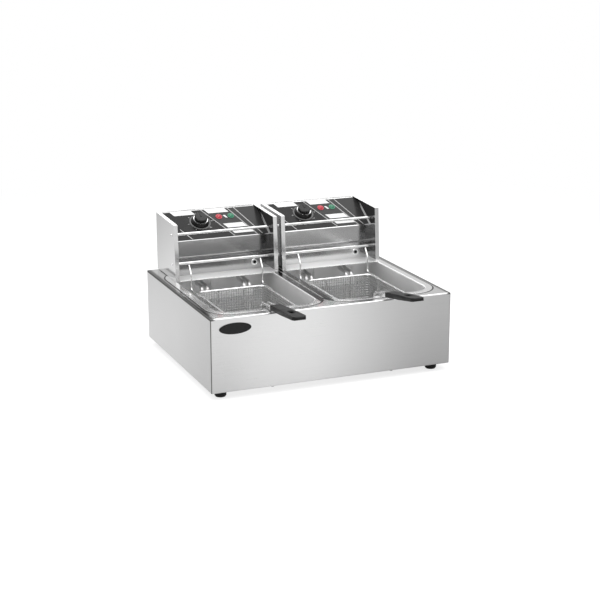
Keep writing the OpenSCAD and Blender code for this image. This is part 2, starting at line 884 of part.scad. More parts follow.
// Rim, four bearers, two hooks and the cross wire, each a wire of its own
module basket_frame(side) color("whitesmoke") at_tank(side) {
    translate([0, basket_y, basket_top])
        around_rect(basket_w, basket_l, basket_corner_r)
            translate([basket_corner_r, 0])
                circle(d = rim_wire_d);
    for (x = bearer_x)
        translate([x, basket_y, 0])
            bent_rod([
                [0, -basket_l/2, bearer_top],
                [0, -basket_l/2, basket_floor],
                [0, basket_l/2, basket_floor],
                [0, basket_l/2, bearer_top]
            ], [0, bearer_bend, bearer_bend, 0], wire_d, lap = 0);
    for (y = bearer_y)
        translate([0, basket_y + y, 0])
            bent_rod([
                [-basket_w/2, 0, bearer_top],
                [-basket_w/2, 0, upper_bearer],
                [basket_w/2, 0, upper_bearer],
                [basket_w/2, 0, bearer_top]
            ], [0, bearer_bend, bearer_bend, 0], wire_d, lap = 0);
    // the cross wire that the handle's lower end is welded to
    translate([0, basket_y - basket_l/2, cross_wire_z])
        rotate([0, 90, 0])
            cylinder(h = bearer_x[1] - bearer_x[0] - wire_d - 2*weld_gap, d = wire_d, center = true);
    for (x = [-1, 1])
        bent_rod([
            [x*hook_x, hook_foot_y, basket_top],
            [x*hook_x, hook_y, basket_top],
            [x*hook_x, hook_y, hook_turn],
            [x*hook_x, hook_y, hook_turn] + hook_tip*[0, 0.6, 0.8]
        ], [0, 8, 6, 0], wire_d);
}

// Wires of one straight stretch of wall, along X, with its outside at Y = 0
module mesh_stretch(l) {
    for (i = [0 : mesh_rings])
        translate([-l/2, 0, i*mesh_ring_step])
            cube([l, mesh_wire, mesh_wire]);
    for (i = [-floor(l/2/mesh_pitch) : floor(l/2/mesh_pitch)])
        translate([i*mesh_pitch - mesh_wire/2, 0, 0])
            cube([mesh_wire, mesh_wire, mesh_wall_h]);
}

// A quarter round of wall wires about the origin, with one upright in its middle
module mesh_corner() {
    for (i = [0 : mesh_rings])
        translate([0, 0, i*mesh_ring_step])
            rotate_extrude(angle = 90)
                translate([mesh_r - mesh_wire, 0])
                    square(mesh_wire);
    rotate(45)
        translate([mesh_r - mesh_wire, -mesh_wire/2, 0])
            cube([mesh_wire, mesh_wire, mesh_wall_h]);
}

// Five panels of wire cloth: two ends, two sides with round corners, and the floor
module basket_mesh(side) color("lightgray") at_tank(side) translate([0, basket_y, 0]) {
    along_n = floor((mesh_l/2 - mesh_r)/mesh_pitch);
    across_n = floor((mesh_w/2 - mesh_r)/mesh_pitch);
    translate([0, 0, mesh_wall_bottom])
        for (turn = [0, 180]) rotate(turn) {
            translate([0, -mesh_l/2, 0])
                mesh_stretch(mesh_w - 2*mesh_r - 2*weld_gap);
            translate([mesh_w/2, 0, 0])
                rotate(90)
                    mesh_stretch(mesh_l - 2*mesh_r);
            translate([mesh_w/2 - mesh_r, mesh_l/2 - mesh_r, 0])
                mesh_corner();
            translate([mesh_w/2 - mesh_r, mesh_r - mesh_l/2, 0])
                rotate(-90)
                    mesh_corner();
        }
    translate([0, 0, mesh_bottom])
        linear_extrude(mesh_wire)
            intersection() {
                rounded_rect(mesh_w - 2, mesh_l - 2, mesh_r - 1);
                union() {
                    for (i = [-across_n - 1 : across_n + 1])
                        translate([i*mesh_pitch, 0])
                            square([mesh_wire, mesh_l], center = true);
                    for (i = [-along_n - 1 : along_n + 1])
                        translate([0, i*mesh_pitch])
                            square([mesh_w, mesh_wire], center = true);
                    difference() {
                        square([mesh_w, mesh_l], center = true);
                        rounded_rect(mesh_w - 2 - 2*mesh_wire, mesh_l - 2 - 2*mesh_wire,
                            mesh_r - 1 - mesh_wire);
                    }
                }
            }
}

function slope_of(side) = side == left ? grip_slope[0] : grip_slope[1];

// Height of the grip's middle line over a place Y
function on_slope(side, y) = grip_z - (y - grip_root)*tan(slope_of(side));

// One wire bent like a hairpin: up the basket's front, over the tank's rim and into the grip
module handle_wire(side) color("whitesmoke") at_tank(side) {
    inner_end = grip_root - (grip_bore - 1)*cos(slope_of(side));
    half = [
        [handle_x, inner_end, on_slope(side, inner_end)],
        [handle_x, handle_y, on_slope(side, handle_y)],
        [handle_x, handle_y, 54]
    ];
    bent_rod(both_halves(half), both_halves([0, 12, 5]), rim_wire_d);
}

// The grip's outline from above, widening towards its round end
module grip_plan() intersection() {
    rounded_rect(grip_w, 2*grip_l, 11);
    polygon([
        [-grip_root_w/2, 0],
        [grip_root_w/2, 0],
        [grip_w/2 + 0.6, -grip_l - cut],
        [-grip_w/2 - 0.6, -grip_l - cut]
    ]);
}

// The grip's outline from the side, as [Y, Z]
module grip_side() {
    end_z = grip_end_t/2 - 0.2;
    polygon([
        [0, -grip_t/2],
        [0, grip_t/2],
        [-grip_l/2, grip_t/2 + 0.3],
        [grip_end_t/2 - grip_l, end_z],
        [grip_end_t/2 - grip_l, -end_z],
        [-grip_l/2, -grip_t/2 + 0.4]
    ]);
    translate([grip_end_t/2 - grip_l, 0])
        circle(grip_end_t/2);
}

module grip(side) color("#1e1e1e") at_tank(side) along_grip(side) difference() {
    intersection() {
        translate([0, 0, -grip_t])
            linear_extrude(2*grip_t)
                grip_plan();
        across(2*grip_w)
            grip_side();
        rotate([90, 0, 0])
            linear_extrude(grip_l)
                rounded_rect(grip_w + 0.6, grip_t + 1, 4.5);
    }
    for (x = [-1, 1])
        translate([x*handle_x, cut, 0])
            rotate([90, 0, 0])
                cylinder(h = grip_bore + cut, d = rim_wire_d + 0.1);
    translate([0, slot_place, -grip_t])
        linear_extrude(2*grip_t)
            slot(grip_slot.x, grip_slot.y);
    translate([0, slot_place, grip_t/2 - 1.2])
        linear_extrude(grip_t)
            slot(grip_slot.x + 5, grip_slot.y + 6);
}

outer_casing();
base_plate();
centre_support();
rubber_feet();
base_screws();
badge_plate();
tank(left);  // left_tank
head_shell(left);  // left_head_shell
head_front(left);  // left_head_front
head_back(left);  // left_head_back
back_screws(left);  // left_back_screws
control_film(left);  // left_control_film
hanging_rods(left);  // left_hanging_rods
rod_screws(left);  // left_rod_screws
dial_ring(left);  // left_dial_ring
knob(left);  // left_knob
knob_ring(left);  // left_knob_ring
spindle(left);  // left_spindle
thermostat(left);  // left_thermostat
thermostat_bulb(left);  // left_thermostat_bulb
limiter(left);  // left_limiter
reset_bezel(left);  // left_reset_bezel
reset_button(left);  // left_reset_button
red_lamp(left);  // left_red_lamp
green_lamp(left);  // left_green_lamp
terminal_block(left);  // left_terminal_block
cable_gland(left);  // left_cable_gland
element(left);  // left_element
element_straps(left);  // left_element_straps
basket_frame(left);  // left_basket_frame
basket_mesh(left);  // left_basket_mesh
handle_wire(left);  // left_handle_wire
grip(left);  // left_grip
tank(right);  // right_tank
head_shell(right);  // right_head_shell
head_front(right);  // right_head_front
head_back(right);  // right_head_back
back_screws(right);  // right_back_screws
control_film(right);  // right_control_film
hanging_rods(right);  // right_hanging_rods
rod_screws(right);  // right_rod_screws
dial_ring(right);  // right_dial_ring
knob(right);  // right_knob
knob_ring(right);  // right_knob_ring
spindle(right);  // right_spindle
thermostat(right);  // right_thermostat
thermostat_bulb(right);  // right_thermostat_bulb
limiter(right);  // right_limiter
reset_bezel(right);  // right_reset_bezel
reset_button(right);  // right_reset_button
red_lamp(right);  // right_red_lamp
green_lamp(right);  // right_green_lamp
terminal_block(right);  // right_terminal_block
cable_gland(right);  // right_cable_gland
element(right);  // right_element
element_straps(right);  // right_element_straps
basket_frame(right);  // right_basket_frame
basket_mesh(right);  // right_basket_mesh
handle_wire(right);  // right_handle_wire
grip(right);  // right_grip
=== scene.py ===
import math

import bmesh
import bpy
from mathutils import Matrix, Vector


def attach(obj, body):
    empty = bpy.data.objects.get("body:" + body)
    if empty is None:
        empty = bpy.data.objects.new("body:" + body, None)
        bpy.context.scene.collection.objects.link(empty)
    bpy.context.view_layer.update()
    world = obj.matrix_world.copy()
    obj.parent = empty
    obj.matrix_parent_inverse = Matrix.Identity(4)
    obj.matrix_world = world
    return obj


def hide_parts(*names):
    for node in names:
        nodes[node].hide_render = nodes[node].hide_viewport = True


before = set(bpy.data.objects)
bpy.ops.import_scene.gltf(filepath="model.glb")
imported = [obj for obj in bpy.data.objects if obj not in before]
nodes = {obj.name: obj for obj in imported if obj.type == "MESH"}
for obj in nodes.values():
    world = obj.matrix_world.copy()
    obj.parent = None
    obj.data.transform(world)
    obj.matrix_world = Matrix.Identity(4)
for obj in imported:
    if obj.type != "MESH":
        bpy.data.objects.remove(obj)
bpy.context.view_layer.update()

sides = {"left": -1, "right": 1}
mm = 0.001

print("frame loaded:", len(nodes), "nodes")

# helpers for node trees


def addNode(tree, kind, **settings):
    node = tree.nodes.new(kind)
    for key, value in settings.items():
        setattr(node, key, value)
    return node


def setInputs(node, **values):
    for key, value in values.items():
        node.inputs[key].default_value = value
    return node


def feed(tree, socket, value):
    # a socket takes a link or a plain value
    if isinstance(value, bpy.types.NodeSocket):
        tree.links.new(value, socket)
    elif value is not None:
        socket.default_value = value


def mathNode(tree, operation, a, b=None):
    node = addNode(tree, "ShaderNodeMath", operation=operation)
    feed(tree, node.inputs[0], a)
    feed(tree, node.inputs[1], b)
    return node.outputs[0]


def vectorNode(tree, operation, a, b=None):
    node = addNode(tree, "ShaderNodeVectorMath", operation=operation)
    feed(tree, node.inputs[0], a)
    feed(tree, node.inputs[1], b)
    return node.outputs["Value" if operation in ("LENGTH", "DOT_PRODUCT") else "Vector"]


def splitVector(tree, vector):
    split = addNode(tree, "ShaderNodeSeparateXYZ")
    tree.links.new(vector, split.inputs["Vector"])
    return split.outputs


def mapRange(tree, value, low, high, toLow, toHigh, smooth=False):
    node = addNode(tree, "ShaderNodeMapRange", interpolation_type="SMOOTHSTEP" if smooth else "LINEAR")
    tree.links.new(value, node.inputs["Value"])
    for key, number in zip(("From Min", "From Max", "To Min", "To Max"), (low, high, toLow, toHigh)):
        node.inputs[key].default_value = number
    return node.outputs["Result"]


def mixColour(tree, factor, a, b):
    node = addNode(tree, "ShaderNodeMix", data_type="RGBA")
    for index, value in ((0, factor), (6, a), (7, b)):
        feed(tree, node.inputs[index], value)
    return node.outputs[2]


def rgba(shade):
    if isinstance(shade, (int, float)):
        shade = (shade, shade, shade)
    return (*shade, 1.0)


def objectPlace(tree):
    return addNode(tree, "ShaderNodeTexCoord").outputs["Object"]


def surfaceNormal(tree):
    return addNode(tree, "ShaderNodeNewGeometry").outputs["Normal"]


# shader groups

# wear of edges and depth of relief, shared by all finishes
wear = dict(sharpFrom=0.995, sharpTo=0.80, steelLift=0.5, steelShade=0.86, plasticLift=0.45,
            reliefDepth=0.0002, samples=6)


def newGroup(name, inputs, outputs):
    group = bpy.data.node_groups.new(name, "ShaderNodeTree")
    for title, kind, value in inputs:
        socket = group.interface.new_socket(name=title, in_out="INPUT", socket_type=kind)
        socket.default_value = value
    for title, kind in outputs:
        group.interface.new_socket(name=title, in_out="OUTPUT", socket_type=kind)
    return group, group.nodes.new("NodeGroupInput"), group.nodes.new("NodeGroupOutput")


def makeGrainGroup():
    # long fine scratches from the polishing belt, and slow clouds under them
    group, entry, leave = newGroup(
        "beltGrain",
        [("Stretch", "NodeSocketVector", (1, 1, 1)), ("Clouds", "NodeSocketFloat", 9.0)],
        [("Grain", "NodeSocketFloat"), ("Cloud", "NodeSocketFloat")],
    )
    place = objectPlace(group)
    stretched = vectorNode(group, "MULTIPLY", place, entry.outputs["Stretch"])
    fine = setInputs(addNode(group, "ShaderNodeTexNoise"), Scale=1.0, Detail=3.0, Roughness=0.6)
    group.links.new(stretched, fine.inputs["Vector"])
    cloud = setInputs(addNode(group, "ShaderNodeTexNoise"), Detail=3.0, Roughness=0.55)
    group.links.new(place, cloud.inputs["Vector"])
    group.links.new(entry.outputs["Clouds"], cloud.inputs["Scale"])
    group.links.new(fine.outputs["Fac"], leave.inputs["Grain"])
    group.links.new(cloud.outputs["Fac"], leave.inputs["Cloud"])
    return group


def makeEdgeGroup():
    # a soft normal over sharp edges, and a mask of where they are
    group, entry, leave = newGroup(
        "wornEdge",
        [("Radius", "NodeSocketFloat", 0.0006)],
        [("Normal", "NodeSocketVector"), ("Mask", "NodeSocketFloat")],
    )
    rounded = addNode(group, "ShaderNodeBevel", samples=wear["samples"])
    group.links.new(entry.outputs["Radius"], rounded.inputs["Radius"])
    turned = vectorNode(group, "DOT_PRODUCT", rounded.outputs["Normal"], surfaceNormal(group))
    mask = mapRange(group, turned, wear["sharpFrom"], wear["sharpTo"], 0.0, 1.0)
    group.links.new(rounded.outputs["Normal"], leave.inputs["Normal"])
    group.links.new(mask, leave.inputs["Mask"])
    return group


def makeSkinGroup():
    # fine moulded texture and faint dust for plastic, film and rubber
    group, entry, leave = newGroup(
        "mouldedSkin",
        [("Size", "NodeSocketFloat", 900.0), ("Dust", "NodeSocketFloat", 20.0)],
        [("Skin", "NodeSocketFloat"), ("Dust", "NodeSocketFloat")],
    )
    place = objectPlace(group)
    skin = setInputs(addNode(group, "ShaderNodeTexNoise"), Detail=2.0, Roughness=0.5)
    dust = setInputs(addNode(group, "ShaderNodeTexNoise"), Detail=5.0, Roughness=0.7)
    for texture, key in ((skin, "Size"), (dust, "Dust")):
        group.links.new(place, texture.inputs["Vector"])
        group.links.new(entry.outputs[key], texture.inputs["Scale"])
    group.links.new(skin.outputs["Fac"], leave.inputs["Skin"])
    group.links.new(dust.outputs["Fac"], leave.inputs["Dust"])
    return group


beltGrain = makeGrainGroup()
wornEdge = makeEdgeGroup()
mouldedSkin = makeSkinGroup()


def useGroup(tree, group, **values):
    return setInputs(addNode(tree, "ShaderNodeGroup", node_tree=group), **values)


def newMaterial(name):
    material = bpy.data.materials.new(name)
    material.use_nodes = True
    tree = material.node_tree
    return material, tree, tree.nodes["Principled BSDF"]


def addRelief(tree, shader, height, edge, strength, depth=wear["reliefDepth"]):
    # fine relief over the softened edges
    bump = setInputs(addNode(tree, "ShaderNodeBump"), Strength=strength, Distance=depth)
    tree.links.new(height, bump.inputs["Height"])
    tree.links.new(edge.outputs["Normal"], bump.inputs["Normal"])
    tree.links.new(bump.outputs["Normal"], shader.inputs["Normal"])


# metals; shade to bright along the grain, rough on upright sheets and topRough on flat ones
steels = {
    "casingSteel": dict(shade=0.74, bright=0.80, rough=0.30, topRough=0.13,
                        stretch=(14, 900, 900), clouds=3.0,
                        stain=(0.66, 0.66, 0.66), stainAmount=0.25, bump=0.05, edge=0.0010),
    "headSteel": dict(shade=0.84, bright=0.88, rough=0.13, topRough=0.62,
                      stretch=(700, 14, 700), clouds=5.0,
                      stain=(0.76, 0.76, 0.76), stainAmount=0.2, bump=0.01, edge=0.0006),
    # painted shade: the heads' fronts are lit and shaded copies of one mirror steel, the left one painted
    # darker than the right
    "leftMirror": dict(shade=0.34, bright=0.37, rough=0.16, topRough=0.16,
                       stretch=(9, 500, 500), clouds=6.0,
                       stain=(0.32, 0.32, 0.32), stainAmount=0.2, bump=0.0, edge=0.0006),
    "rightMirror": dict(shade=0.53, bright=0.56, rough=0.16, topRough=0.16,
                        stretch=(9, 500, 500), clouds=6.0,
                        stain=(0.50, 0.50, 0.50), stainAmount=0.2, bump=0.0, edge=0.0006),
    "tankSteel": dict(shade=0.95, bright=0.99, rough=0.50, topRough=0.16,
                      stretch=(300, 300, 16), clouds=9.0,
                      stain=(0.78, 0.77, 0.75), stainAmount=0.3, bump=0.02, edge=0.0008),
    "wireSteel": dict(shade=0.80, bright=0.88, rough=0.26, topRough=0.26,
                      stretch=(220, 220, 220), clouds=40.0,
                      stain=(0.70, 0.70, 0.69), stainAmount=0.3, bump=0.02, edge=0.0003),
    # painted shade: the cloth is a darker copy of the wire steel, for the dark its fine wires reflect from
    # inside the tank
    "clothSteelPaintedShade": dict(shade=0.55, bright=0.66, rough=0.26, topRough=0.26,
                       stretch=(220, 220, 220), clouds=40.0,
                       stain=(0.70, 0.70, 0.69), stainAmount=0.3, bump=0.02, edge=0.0003),
    "elementSteel": dict(shade=0.78, bright=0.86, rough=0.40, topRough=0.40,
                         stretch=(260, 260, 260), clouds=22.0,
                         stain=(0.60, 0.57, 0.53), stainAmount=0.4, bump=0.04, edge=0.0003),
    "zincSteel": dict(shade=0.60, bright=0.70, rough=0.34, topRough=0.34,
                      stretch=(120, 120, 120), clouds=30.0,
                      stain=(0.5, 0.5, 0.52), stainAmount=0.5, bump=0.05, edge=0.0004),
    "chromeTrim": dict(shade=0.70, bright=0.76, rough=0.12, topRough=0.12,
                       stretch=(200, 200, 200), clouds=30.0,
                       stain=(0.6, 0.6, 0.6), stainAmount=0.3, bump=0.01, edge=0.0002),
}

# where stains begin, which sheets lie flat, and how much the grain roughens
polish = dict(stain=(0.45, 0.75), stainRough=0.06, flat=(0.90, 0.97), grain=(0.3, 0.7), grainRough=(0.9, 1.1))


def makeSteel(name, look):
    material, tree, shader = newMaterial(name)
    grain = useGroup(tree, beltGrain, Stretch=look["stretch"], Clouds=look["clouds"])
    edge = useGroup(tree, wornEdge, Radius=look["edge"])
    tone = mixColour(tree, grain.outputs["Grain"], rgba(look["shade"]), rgba(look["bright"]))
    stained = mapRange(tree, grain.outputs["Cloud"], *polish["stain"], 0, 1)
    stained = mathNode(tree, "MULTIPLY", stained, look["stainAmount"])
    tone = mixColour(tree, stained, tone, rgba(look["stain"]))
    lifted = mathNode(tree, "MULTIPLY", edge.outputs["Mask"], wear["steelLift"])
    tone = mixColour(tree, lifted, tone, rgba(wear["steelShade"]))
    tree.links.new(tone, shader.inputs["Base Color"])
    shader.inputs["Metallic"].default_value = 1.0
    # sheets that lie flat have a finish of their own
    upward = splitVector(tree, surfaceNormal(tree))["Z"]
    rough = mapRange(tree, upward, *polish["flat"], look["rough"], look["topRough"])
    scratched = mapRange(tree, grain.outputs["Grain"], *polish["grain"], *polish["grainRough"])
    rough = mathNode(tree, "MULTIPLY", rough, scratched)
    rough = mathNode(tree, "ADD", rough, mathNode(tree, "MULTIPLY", stained, polish["stainRough"]))
    tree.links.new(rough, shader.inputs["Roughness"])
    addRelief(tree, shader, grain.outputs["Grain"], edge, look["bump"])
    return material


# plastics, print, rubber, ceramic and lenses
plastics = {
    "blackPlastic": dict(base=0.006, worn=0.05, rough=0.42, spread=0.12, size=1100, dust=45,
                         dustShade=0.016, dustAmount=0.5, bump=0.12, edge=0.0008, coat=0.0, shine=0.22),
    "knobPlastic": dict(base=0.005, worn=0.05, rough=0.30, spread=0.12, size=1500, dust=60,
                        dustShade=0.018, dustAmount=0.4, bump=0.08, edge=0.0005, coat=0.0, shine=0.25),
    "footRubber": dict(base=0.010, worn=0.04, rough=0.62, spread=0.15, size=700, dust=70,
                       dustShade=0.04, dustAmount=0.6, bump=0.3, edge=0.0010, coat=0.0, shine=0.2),
    "badgeEnamel": dict(base=0.008, worn=0.05, rough=0.22, spread=0.06, size=500, dust=30,
                        dustShade=0.02, dustAmount=0.3, bump=0.04, edge=0.0004, coat=0.0, shine=0.25),
    "badgeBorder": dict(base=0.66, worn=0.75, rough=0.30, spread=0.06, size=500, dust=30,
                        dustShade=0.5, dustAmount=0.3, bump=0.04, edge=0.0002, coat=0.0, shine=0.5),
    "ceramicBlock": dict(base=0.72, worn=0.80, rough=0.42, spread=0.1, size=600, dust=50,
                         dustShade=0.55, dustAmount=0.5, bump=0.15, edge=0.0006, coat=0.1, shine=0.5),
    "labelPrint": dict(base=0.68, worn=0.72, rough=0.42, spread=0.08, size=900, dust=60,
                       dustShade=0.60, dustAmount=0.4, bump=0.03, edge=0.0001, coat=0.0, shine=0.3),
    "linePrint": dict(base=0.42, worn=0.50, rough=0.42, spread=0.08, size=900, dust=60,
                      dustShade=0.36, dustAmount=0.4, bump=0.03, edge=0.0001, coat=0.0, shine=0.3),
    "dialPrint": dict(base=0.10, worn=0.14, rough=0.42, spread=0.08, size=900, dust=60,
                      dustShade=0.08, dustAmount=0.4, bump=0.03, edge=0.0001, coat=0.0, shine=0.3),
    "redLens": dict(base=(0.42, 0.012, 0.03), worn=(0.6, 0.08, 0.1), rough=0.14, spread=0.06,
                    size=400, dust=80, dustShade=(0.30, 0.01, 0.02), dustAmount=0.5,
                    bump=0.05, edge=0.0004, coat=0.2, shine=0.4),
    "greenLens": dict(base=(0.012, 0.17, 0.085), worn=(0.05, 0.3, 0.18), rough=0.14, spread=0.06,
                      size=400, dust=80, dustShade=(0.01, 0.12, 0.06), dustAmount=0.5,
                      bump=0.05, edge=0.0004, coat=0.2, shine=0.4),
}

# where dust gathers, and the spread of the skin over which roughness changes
dustiness = dict(gathers=(0.48, 0.72), skin=(0.3, 0.7))


def makePlastic(name, look):
    material, tree, shader = newMaterial(name)
    skin = useGroup(tree, mouldedSkin, Size=look["size"], Dust=look["dust"])
    edge = useGroup(tree, wornEdge, Radius=look["edge"])
    dusty = mapRange(tree, skin.outputs["Dust"], *dustiness["gathers"], 0, 1)
    dusty = mathNode(tree, "MULTIPLY", dusty, look["dustAmount"])
    tone = mixColour(tree, dusty, rgba(look["base"]), rgba(look["dustShade"]))
    lifted = mathNode(tree, "MULTIPLY", edge.outputs["Mask"], wear["plasticLift"])
    tone = mixColour(tree, lifted, tone, rgba(look["worn"]))
    tree.links.new(tone, shader.inputs["Base Color"])
    half = look["spread"] / 2
    smoothest, roughest = look["rough"] - half, look["rough"] + half
    rough = mapRange(tree, skin.outputs["Dust"], *dustiness["skin"], smoothest, roughest)
    tree.links.new(rough, shader.inputs["Roughness"])
    shader.inputs["Coat Weight"].default_value = look["coat"]
    shader.inputs["Specular IOR Level"].default_value = look["shine"]
    addRelief(tree, shader, skin.outputs["Skin"], edge, look["bump"])
    return material


# the sloping panel's own plane, as the CAD has it
panel = dict(foldY=0.1916, foldZ=0.256, slope=31.48, pitch=0.127, filmTop=0.0011)


def panelMatrix(side):
    return (Matrix.Translation((sides[side] * panel["pitch"], panel["foldY"], panel["foldZ"]))
            @ Matrix.Rotation(math.radians(panel["slope"]), 4, "X")
            @ Matrix.Translation((0, 0, panel["filmTop"])))


# printed film: black to the left of a slanted line, dark grey to its right
film = dict(black=0.005, grey=0.030, dustShade=0.03, dustAmount=0.4, gathers=(0.45, 0.75),
            rough=(0.20, 0.30), shine=0.15, size=1800.0, dust=30.0, edge=0.0004, bump=0.10, depth=0.0001,
            slant=0.57, splitAt=0.0390, blur=0.0003)


def makeFilm(side):
    material, tree, shader = newMaterial(side + "PrintedFilm")
    move = addNode(tree, "ShaderNodeMapping", vector_type="POINT")
    tree.links.new(objectPlace(tree), move.inputs["Vector"])
    inverse = panelMatrix(side).inverted()
    move.inputs["Location"].default_value = inverse.translation
    move.inputs["Rotation"].default_value = inverse.to_euler()
    axes = splitVector(tree, move.outputs["Vector"])
    across = mathNode(tree, "ADD", axes["X"], mathNode(tree, "MULTIPLY", axes["Y"], film["slant"]))
    grey = mapRange(tree, across, film["splitAt"] - film["blur"], film["splitAt"] + film["blur"], 0, 1)
    skin = useGroup(tree, mouldedSkin, Size=film["size"], Dust=film["dust"])
    edge = useGroup(tree, wornEdge, Radius=film["edge"])
    tone = mixColour(tree, grey, rgba(film["black"]), rgba(film["grey"]))
    dusty = mapRange(tree, skin.outputs["Dust"], *film["gathers"], 0, 1)
    dusty = mathNode(tree, "MULTIPLY", dusty, film["dustAmount"])
    tone = mixColour(tree, dusty, tone, rgba(film["dustShade"]))
    tree.links.new(tone, shader.inputs["Base Color"])
    rough = mapRange(tree, skin.outputs["Dust"], *dustiness["skin"], *film["rough"])
    tree.links.new(rough, shader.inputs["Roughness"])
    shader.inputs["Specular IOR Level"].default_value = film["shine"]
    addRelief(tree, shader, skin.outputs["Skin"], edge, film["bump"], film["depth"])
    return material


def steelWithPaintedShade(name, look, makeMask, shade):
    # a steel with painted shade: its colour goes to a darker shade where the mask says so
    material = makeSteel(name, look)
    tree = material.node_tree
    shader = tree.nodes["Principled BSDF"]
    steel = shader.inputs["Base Color"].links[0].from_socket
    tone = mixColour(tree, makeMask(tree, objectPlace(tree)), steel, rgba(shade))
    tree.links.new(tone, shader.inputs["Base Color"])
    return material


# painted shade: a dark band round each tank's rim on the top sheet, standing in for the dark reflection at
# the joint between them
paintedRimShade = dict(middle=0.131, y=0.043, halfW=0.130, halfL=0.186, corner=0.056, top=0.1755, topBlur=0.0003,
             outer=0.0042, fade=0.0012, shade=0.02)

# painted shade: darker bands along the sides of the top sheet, and a dark line down the two front corners
paintedFoldShade = dict(side=0.275, front=-0.162, band=(0.2630, 0.2695), low=(0.1719, 0.1725), bandDepth=0.90,
            line=(0.0015, 0.0021), lineDepth=0.86)


def rimDistance(tree, place, side):
    # distance outwards from the outline of one tank's rim
    moved = vectorNode(tree, "SUBTRACT", place, (sides[side] * paintedRimShade["middle"], paintedRimShade["y"], 0))
    size = vectorNode(tree, "ABSOLUTE", moved)
    straight = (paintedRimShade["halfW"] - paintedRimShade["corner"], paintedRimShade["halfL"] - paintedRimShade["corner"], 1)
    past = vectorNode(tree, "SUBTRACT", size, straight)
    outside = vectorNode(tree, "MAXIMUM", past, (0, 0, 0))
    return mathNode(tree, "SUBTRACT", vectorNode(tree, "LENGTH", outside), paintedRimShade["corner"])


# painted shade along the sides of the top sheet and down its front corners
def paintedFoldShadeMask(tree, axes):
    away = mathNode(tree, "ABSOLUTE", axes["X"])
    band = mapRange(tree, away, *paintedFoldShade["band"], 0, paintedFoldShade["bandDepth"])
    band = mathNode(tree, "MULTIPLY", band, mapRange(tree, axes["Z"], *paintedFoldShade["low"], 0, 1))
    corner = addNode(tree, "ShaderNodeCombineXYZ")
    tree.links.new(mathNode(tree, "SUBTRACT", away, paintedFoldShade["side"]), corner.inputs["X"])
    tree.links.new(mathNode(tree, "SUBTRACT", axes["Y"], paintedFoldShade["front"]), corner.inputs["Y"])
    reach = vectorNode(tree, "LENGTH", corner.outputs["Vector"])
    line = mapRange(tree, reach, *paintedFoldShade["line"], paintedFoldShade["lineDepth"], 0)
    return mathNode(tree, "MAXIMUM", band, line)


# painted shade on the top sheet: round the tank rims, along its sides and down its front corners
def paintedDeckShadeMask(tree, place):
    gap = mathNode(tree, "MINIMUM", rimDistance(tree, place, "left"), rimDistance(tree, place, "right"))
    mask = mapRange(tree, gap, paintedRimShade["outer"] - paintedRimShade["fade"], paintedRimShade["outer"], 1, 0)
    axes = splitVector(tree, place)
    flat = mapRange(tree, axes["Z"], paintedRimShade["top"] - paintedRimShade["topBlur"], paintedRimShade["top"], 0, 1)
    return mathNode(tree, "MAXIMUM", mathNode(tree, "MULTIPLY", mask, flat), paintedFoldShadeMask(tree, axes))


# painted shade: dark stripes on the rims along the middle, and painted shade that deepens slowly down the
# tanks
tankShade = dict(near=(0.0014, 0.0022), far=(0.0145, 0.0165), rimTop=0.1765,
                 deep=(0.02, 0.165), deepest=0.40, shade=0.03)


def tankPaintedShadeMask(tree, place):
    axes = splitVector(tree, place)
    away = mathNode(tree, "ABSOLUTE", axes["X"])
    stripe = mathNode(tree, "MULTIPLY", mapRange(tree, away, *tankShade["near"], 0, 1),
                      mapRange(tree, away, *tankShade["far"], 1, 0))
    onRim = mathNode(tree, "GREATER_THAN", axes["Z"], tankShade["rimTop"])
    depth = mapRange(tree, axes["Z"], *tankShade["deep"], tankShade["deepest"], 0)
    return mathNode(tree, "MAXIMUM", mathNode(tree, "MULTIPLY", stripe, onRim), depth)


# painted shade on the insides of a head's cheeks, the sides that face its middle
paintedCheekShade = dict(middle=0.127, facing=-0.1, shade=0.20)


def paintedCheekShadeMask(tree, place):
    across = splitVector(tree, place)["X"]
    middle = mathNode(tree, "MULTIPLY", mathNode(tree, "SIGN", across), paintedCheekShade["middle"])
    own = mathNode(tree, "SUBTRACT", across, middle)
    facing = splitVector(tree, surfaceNormal(tree))["X"]
    return mathNode(tree, "LESS_THAN", mathNode(tree, "MULTIPLY", own, facing), paintedCheekShade["facing"])


finish = {name: makeSteel(name, look) for name, look in steels.items()}
finish.update({name: makePlastic(name, look) for name, look in plastics.items()})
# steels with painted shade: the top sheet, the tanks and the insides of the cheeks
finish["deckSteelPaintedShade"] = steelWithPaintedShade("deckSteelPaintedShade", steels["casingSteel"], paintedDeckShadeMask, paintedRimShade["shade"])
finish["rimmedTankPaintedShade"] = steelWithPaintedShade("rimmedTankPaintedShade", steels["tankSteel"], tankPaintedShadeMask, tankShade["shade"])
finish["paintedCheekShadeSteel"] = steelWithPaintedShade("paintedCheekShadeSteel", steels["headSteel"], paintedCheekShadeMask, paintedCheekShade["shade"])

print("materials made:", len(finish))

